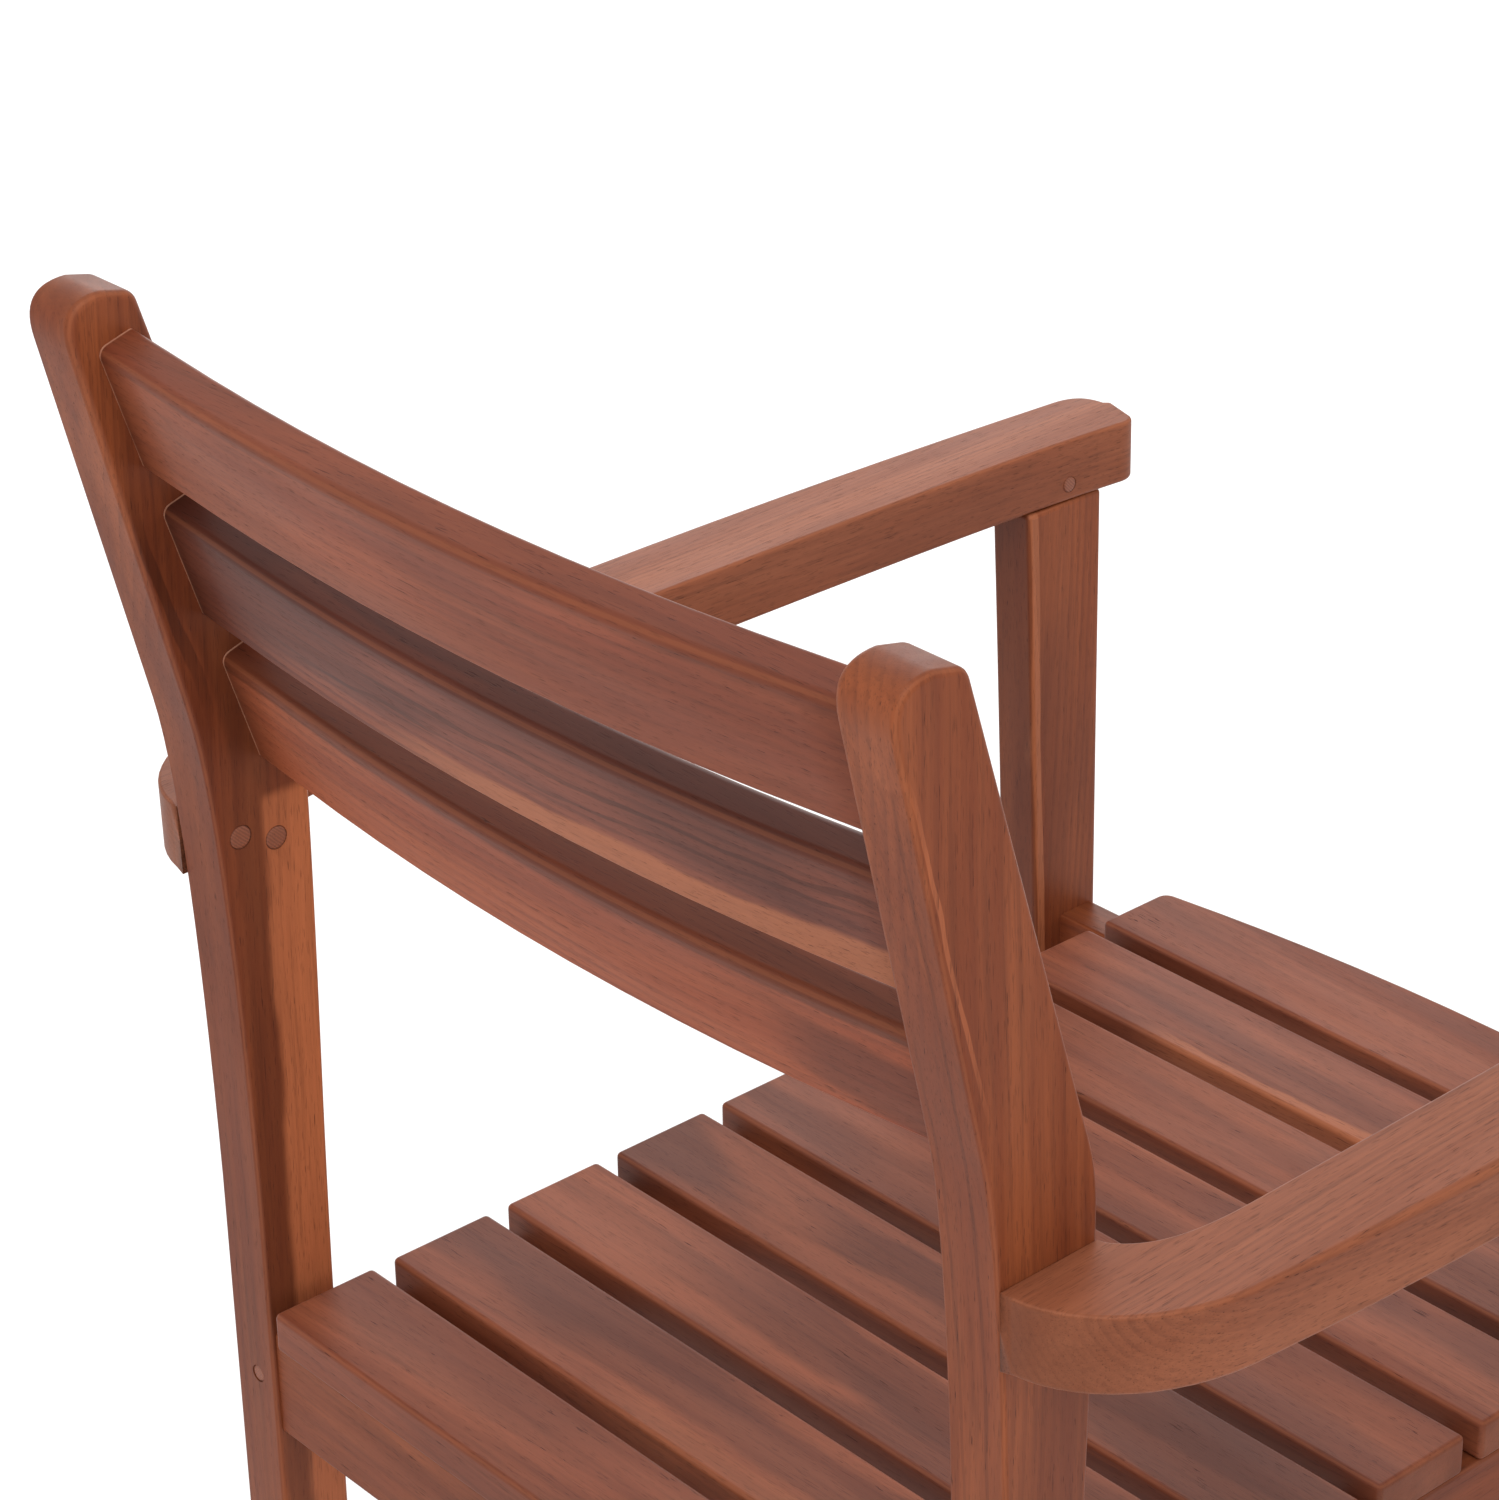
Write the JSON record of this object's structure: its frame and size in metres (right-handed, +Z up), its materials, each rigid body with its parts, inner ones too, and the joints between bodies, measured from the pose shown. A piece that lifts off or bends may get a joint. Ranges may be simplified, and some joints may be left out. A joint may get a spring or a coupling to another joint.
{
  "type": "garden armchair",
  "caption": "Wooden garden armchair with a flat slatted seat, a leaning back of bowed slats and armrests that sweep out from the back posts.",
  "frame": {"origin": "on the floor under the middle of the chair's bounding box", "axes": "+Z up, the sitter faces -Y, +X is the sitter's left"},
  "size_m": [0.5792, 0.5954, 0.8845],
  "materials": {
    "teak_frame": "oiled reddish-brown hardwood, satin",
    "teak_back": "oiled reddish-brown hardwood, satin",
    "teak_seat": "oiled reddish-brown hardwood, satin",
    "teak_peg": "end grain of the same wood, matt",
    "screw_steel": "stainless, hidden"
  },
  "bodies": {
    "root": {"arm_peg_left": "teak_peg", "arm_peg_right": "teak_peg", "arm_plug_front_left": "teak_peg", "arm_plug_front_right": "teak_peg", "arm_plug_rear_left": "teak_peg", "arm_plug_rear_right": "teak_peg", "arm_screw_front_left": "screw_steel", "arm_screw_front_right": "screw_steel", "arm_screw_rear_left": "screw_steel", "arm_screw_rear_right": "screw_steel", "armrest_left": "teak_frame", "armrest_right": "teak_frame", "back_post_left": "teak_frame", "back_post_right": "teak_frame", "back_slat_bottom": "teak_back", "back_slat_middle": "teak_back", "back_slat_top": "teak_back", "front_apron": "teak_frame", "front_apron_peg_left": "teak_peg", "front_apron_peg_right": "teak_peg", "front_leg_left": "teak_frame", "front_leg_right": "teak_frame", "rear_apron": "teak_frame", "rear_apron_peg_left": "teak_peg", "rear_apron_peg_right": "teak_peg", "seat_slat_1": "teak_seat", "seat_slat_2": "teak_seat", "seat_slat_3": "teak_seat", "seat_slat_4": "teak_seat", "seat_slat_5": "teak_seat", "seat_slat_6": "teak_seat", "seat_slat_7": "teak_seat", "seat_slat_8": "teak_seat", "seat_slat_9": "teak_seat", "side_rail_left": "teak_frame", "side_rail_right": "teak_frame", "slat_screw_1_left": "screw_steel", "slat_screw_1_right": "screw_steel", "slat_screw_2_left": "screw_steel", "slat_screw_2_right": "screw_steel", "slat_screw_3_left": "screw_steel", "slat_screw_3_right": "screw_steel", "slat_screw_4_left": "screw_steel", "slat_screw_4_right": "screw_steel", "slat_screw_5_left": "screw_steel", "slat_screw_5_right": "screw_steel", "slat_screw_6_left": "screw_steel", "slat_screw_6_right": "screw_steel", "slat_screw_7_left": "screw_steel", "slat_screw_7_right": "screw_steel", "slat_screw_8_left": "screw_steel", "slat_screw_8_right": "screw_steel", "slat_screw_9_left": "screw_steel", "slat_screw_9_right": "screw_steel"}
  },
  "joints": []
}
